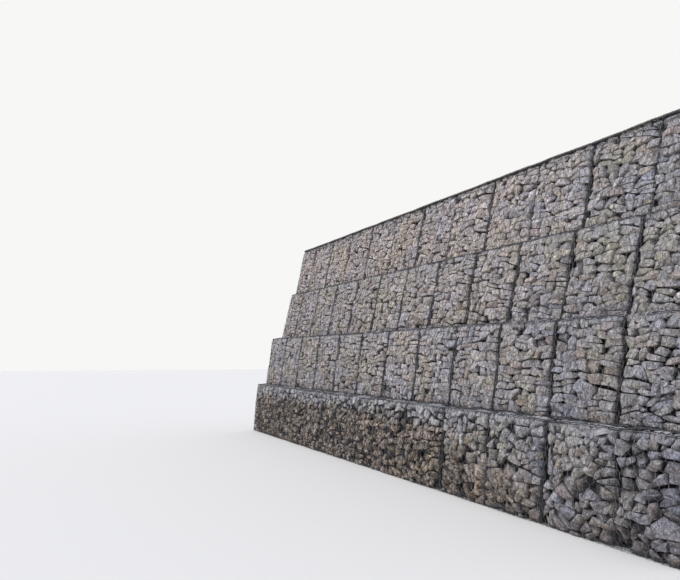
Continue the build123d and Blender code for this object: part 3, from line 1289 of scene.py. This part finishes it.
def makeBaskets():
    netPanels = {course["name"]: [] for course in courses}
    total = 0
    for course in courses:
        lines = course["lines"]
        cells = len(lines) - 1
        rng = np.random.default_rng(stoneSeeds[course["name"]])
        sidesOf = [cellPanels(course, step, rng) for step in range(cells)]
        for row, each, front, frontTop, back, shown in basketRows(course):
            for number, first in enumerate(range(0, cells, each), 1):
                node = f"{course['name']}_{row}_{number:02d}"
                after = min(first + each, cells)
                sides = [side for step in range(first, after) for side in sidesOf[step]
                         if side["kind"] in shown]
                if first == 0:
                    sides.append(endPanel(course, front, frontTop, back, False))
                if after == cells:
                    sides.append(endPanel(course, front, frontTop, back, True))
                store = newStore()
                for side in sides:
                    addStones(store, side, rng)
                addRubble(store, course, lines[first], lines[after], front, frontTop, back)
                total += finishPiece(node + "_stones", store, rock, "stone_fill", node, smooth=False)
                netPanels[course["name"]] += sides
        print("stones laid in course", course["name"], total, "faces so far")
    return netPanels


netPanels = makeBaskets()


# Twisted hexagonal net over every side that shows

net = {
    "across": 0.080,
    "twist": 0.046,             # height of the twists, and of the single wires between them
    "slant": 0.027,
    "wire": 0.0014,             # radius
    "twistedWire": 0.0030,
    "lift": 0.013,              # off the skin of the stones
    "slack": 0.003,
    "uneven": (0.005, 0.006),
    "over": 0.004,              # how far it may reach past the edge of a panel
    "shortest": 0.004,
}


def insideOutline(outline, points):
    inside = np.ones(len(points), bool)
    for corner, following in zip(outline, np.roll(outline, -1, 0)):
        edge = following - corner
        away = edge[0] * (points[:, 1] - corner[1]) - edge[1] * (points[:, 0] - corner[0])
        inside &= away > -net["over"]
    return inside


def netLinks(side):
    # Start and end of every link in the panel: upright twists and slanting single wires
    low, high = side["low"], side["high"]
    pitch = net["twist"] + net["slant"]
    columns = int((high[0] - low[0]) / net["across"]) + 2
    rows = int((high[1] - low[1]) / pitch) + 2
    starts, ends, wires = [], [], []
    half = net["across"] / 2
    for row in range(rows):
        bottom = low[1] + row * pitch
        odd = half if row % 2 else 0.0
        x = low[0] + odd + np.arange(columns) * net["across"]
        foot = np.stack([x, np.full(columns, bottom)], 1)
        head = foot + (0, net["twist"])
        starts.append(foot)
        ends.append(head)
        wires.append(np.full(columns, net["twistedWire"]))
        for step in (-half, half):
            starts.append(head)
            ends.append(head + (step, net["slant"]))
            wires.append(np.full(columns, net["wire"]))
    starts, ends, wires = map(np.concatenate, (starts, ends, wires))
    ends = np.clip(ends, low, high)
    starts = np.clip(starts, low, high)
    kept = insideOutline(side["outline"], starts) & insideOutline(side["outline"], ends)
    kept &= np.linalg.norm(ends - starts, axis=1) > net["shortest"]
    return starts[kept], ends[kept], wires[kept]


def addRods(store, starts, ends, radii, outward):
    # Three-sided rods between pairs of points
    along = ends - starts
    along /= np.linalg.norm(along, axis=1)[:, None]
    sideways = np.cross(along, outward)
    sideways /= np.linalg.norm(sideways, axis=1)[:, None]
    lifted = np.cross(sideways, along)
    rings = []
    for end in (starts, ends):
        for turn in (90, 210, 330):
            angle = math.radians(turn)
            arm = lifted * math.sin(angle) + sideways * math.cos(angle)
            rings.append(end + arm * radii[:, None])
    points = np.stack(rings, 1).reshape(-1, 3)
    base = np.arange(len(starts))[:, None, None] * 6
    pattern = np.array([(0, 1, 4), (0, 4, 3), (1, 2, 5), (1, 5, 4), (2, 0, 3), (2, 3, 5)])
    addPart(store, points, (base + pattern).reshape(-1, 3))


def warpedNet(side, points):
    # The net follows the joints, and is a little uneven
    if not side["seams"]:
        return points
    x, y = points[:, 0], points[:, 1]
    course = side["seams"][0]
    moved = points.copy()
    moved[:, 0] += seamShift(side, x, y) + net["uneven"][0] * np.sin(y * 9 + x * 5 + course)
    moved[:, 1] += net["uneven"][1] * np.sin(x * 8 + course * 2)
    return moved


def makeNets():
    for course in courses:
        store = newStore()
        for side in netPanels[course["name"]]:
            starts, ends, radii = netLinks(side)
            if not len(starts):
                continue
            laid = []
            for points in (warpedNet(side, starts), warpedNet(side, ends)):
                slack = net["slack"] * np.sin(points[:, 0] * 31 + points[:, 1] * 23)
                laid.append(onSkin(side, points, net["lift"] + slack))
            addRods(store, *laid, radii, side["out"])
        faces = finishPiece(course["name"] + "_net", store, netWire, "laced_wire")
        print("net woven over course", course["name"], faces, "faces")


makeNets()


# Laced edges: two edge wires and a spiral of lacing along every seam

lacing = {
    "edgeWire": 0.0032,         # radius
    "edgeSides": 4,
    "lacingWire": 0.0026,
    "lacingSides": 3,
    "seed": 300,                # any whole number
    "apart": 0.007,             # each edge wire from the middle of the seam
    "coil": 0.0165,
    "coilHeight": 0.8,          # of its width
    "coilChange": 0.15,
    "pitch": 0.090,
    "turnSteps": 6,
    "stepLength": 0.15,
    "bow": 0.008,
    "sway": (0.003, 0.002),     # of the edge wires, sideways and outward
    "weakSize": 0.58,           # at the partitions inside a basket
    "inset": 0.010,
    "aboveGround": 0.022,
}


def addTube(store, path, radius, sides, outward):
    # A tube along a path of points, with its own frame carried along
    along = np.gradient(path, axis=0)
    along /= np.linalg.norm(along, axis=1)[:, None]
    sideways = np.cross(along, outward)
    lost = np.linalg.norm(sideways, axis=1) < 0.2       # where the path runs outward itself
    sideways[lost] = np.cross(along[lost], (0.577, 0.577, 0.577))
    sideways /= np.linalg.norm(sideways, axis=1)[:, None]
    lifted = np.cross(sideways, along)
    angles = np.arange(sides) * 2 * math.pi / sides
    arms = lifted[:, None] * np.sin(angles)[None, :, None]
    arms = arms + sideways[:, None] * np.cos(angles)[None, :, None]
    radius = np.broadcast_to(radius, len(path))
    points = (path[:, None] + arms * radius[:, None, None]).reshape(-1, 3)
    faces = [ringFaces(step * sides, (step + 1) * sides, sides) for step in range(len(path) - 1)]
    fan = np.arange(1, sides - 1)
    firstCap = np.stack([np.zeros_like(fan), fan + 1, fan], 1)
    lastCap = np.stack([np.zeros_like(fan), fan, fan + 1], 1) + (len(path) - 1) * sides
    addPart(store, points, np.concatenate([*faces, firstCap, lastCap]))


def addSeam(store, start, end, outward, rng, strong=True, wander=None):
    # Two edge wires, or one at a partition, with a coil of lacing round them
    start, end, outward = np.array(start), np.array(end), np.array(outward)
    length = np.linalg.norm(end - start)
    along = (end - start) / length
    sideways = np.cross(along, outward)
    steps = max(2, int(length / lacing["stepLength"]))
    share = np.linspace(0, 1, steps + 1)
    bow = np.sin(share * rng.uniform(2, 6) * length + rng.uniform(0, 6)) * np.sin(share * math.pi)
    bow = wander(share * wallFace["height"]) if wander else bow * lacing["bow"]
    line = start + np.outer(share * length, along) + np.outer(bow, sideways)
    sway = rng.normal(0, lacing["sway"][0], (steps + 1, 1)) * sideways
    sway = sway + rng.normal(0, lacing["sway"][1], (steps + 1, 1)) * outward
    size = 1.0 if strong else lacing["weakSize"]
    for arm in (-1, 1) if strong else (0,):
        path = line + sway + sideways * arm * lacing["apart"]
        addTube(store, path, lacing["edgeWire"] * size, lacing["edgeSides"], outward)
    turns = length / lacing["pitch"]
    angle = np.linspace(0, turns * 2 * math.pi, int(turns * lacing["turnSteps"]) + 2)
    travel = np.linspace(0, 1, len(angle))
    middle = np.stack([np.interp(travel, share, line[:, axis]) for axis in range(3)], 1)
    coil = lacing["coil"] * size * (1 + lacing["coilChange"] * np.sin(angle * 0.37))
    turned = np.outer(np.cos(angle) * coil, sideways)
    turned = turned + np.outer(np.sin(angle) * coil * lacing["coilHeight"], outward)
    addTube(store, middle + turned, lacing["lacingWire"] * size, lacing["lacingSides"], outward)


def laceJoint(store, course, step, low, high, faceOut, rng):
    # Round the section at one joint: up the face, up the back and over the top
    lines, inset = course["lines"], lacing["inset"]
    x = min(max(lines[step], leftX + inset), rightX - inset)
    outer = step in (0, len(lines) - 1)
    strong = isStrong(course, step) or outer
    floor, roof = course["floor"], course["floor"] + wallFace["height"]
    foot = np.array((x, course["foot"], floor)) - faceOut * inset
    head = np.array((x, course["head"], roof)) - faceOut * inset
    foot[2] += low - floor
    head[2] -= inset
    wander = None if outer else partial(seamWander, course["index"], step)
    addSeam(store, foot, head, faceOut, rng, strong, wander)
    addSeam(store, (x, backY - inset, low), (x, backY - inset, high), yAxis, rng, strong)
    ledgeFront = (x, course["head"] + inset, high)
    addSeam(store, ledgeFront, (x, course["ledgeBack"], high), zAxis, rng, strong)
    if outer:
        outward = xAxis if step else -xAxis
        lean = (course["head"] - course["foot"]) / wallFace["height"]
        for z in (low, high):
            y = course["foot"] + lean * (z - floor)
            addSeam(store, (x, y + inset, z), (x, backY - inset, z), outward, rng)
        if course["name"] == "base":
            split = footY + wallFace["frontRow"]
            addSeam(store, (x, split, low), (x, split, high), outward, rng)


def makeLacing():
    height, inset = wallFace["height"], lacing["inset"]
    for course in courses:
        store = newStore()
        rng = np.random.default_rng(lacing["seed"] + course["index"])
        name, lines = course["name"], course["lines"]
        # The lowest edge lies on the ground
        low = course["floor"] + (lacing["aboveGround"] if name == "base" else inset)
        high = course["floor"] + height - inset
        lean = course["head"] - course["foot"]
        faceOut = np.array((0, -height, lean)) / math.hypot(lean, height)
        for step in range(len(lines)):
            laceJoint(store, course, step, low, high, faceOut, rng)
        for z, y, outward in (
            (low, course["foot"] + inset, faceOut), (high, course["head"] + inset, faceOut),
            (low, backY - inset, yAxis), (high, backY - inset, yAxis),
        ):
            for left, right in zip(lines, lines[1:]):
                addSeam(store, (left + inset, y, z), (right - inset, y, z), outward, rng)
        faces = finishPiece(name + "_lacing", store, lacingWire, "laced_wire", name + "_cage")
        print("lacing wound on course", name, faces, "faces")


makeLacing()


# Rolled edge of the lids

lidEdge = {
    "radius": 0.0135,
    "sides": 9,
    "step": 0.05,
    "wave": 0.004,              # upward, and twice this across
    "swell": 0.10,              # of the radius
    "dents": 0.05,
    "wrapPitch": 0.11,
    "wrapSteps": 9,
    "wrapWire": 0.0026,
    "wrapSides": 3,
    "wrapReach": 1.12,          # of the radius
    "seed": 400,
}


def makeLidEdge():
    low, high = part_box("lid_edge_roll")
    store = newStore()
    rng = np.random.default_rng(lidEdge["seed"])
    steps = int((high.x - low.x) / lidEdge["step"])
    x = np.linspace(low.x, high.x, steps + 1)
    middleY, middleZ = (low.y + high.y) / 2, (low.z + high.z) / 2
    wander = sum(np.sin(x * speed + rng.uniform(0, 6)) for speed in (1.7, 3.1, 5.3, 8.9)) / 4
    bob = sum(np.sin(x * speed + rng.uniform(0, 6)) for speed in (2.3, 4.1, 7.7)) / 3
    path = np.stack([x, middleY + wander * lidEdge["wave"] * 2, middleZ + bob * lidEdge["wave"]], 1)
    uneven = lidEdge["swell"] * np.sin(x * 13) + rng.normal(0, lidEdge["dents"], len(x))
    addTube(store, path, lidEdge["radius"] * (1 + uneven), lidEdge["sides"], zAxis)
    turns = (high.x - low.x) / lidEdge["wrapPitch"]
    angle = np.linspace(0, turns * 2 * math.pi, int(turns * lidEdge["wrapSteps"]))
    wrapX = np.linspace(low.x, high.x, len(angle))
    coil = lidEdge["radius"] * lidEdge["wrapReach"]
    wrap = np.stack([
        wrapX,
        np.interp(wrapX, x, path[:, 1]) + np.cos(angle) * coil,
        np.interp(wrapX, x, path[:, 2]) + np.sin(angle) * coil,
    ], 1)
    addTube(store, wrap, lidEdge["wrapWire"], lidEdge["wrapSides"], zAxis)
    finishPiece("lid_edge_rolled", store, lidEdgeWire, "lid_edge_wire", "lid_edge_roll")
    print("lid edge rolled")


makeLidEdge()
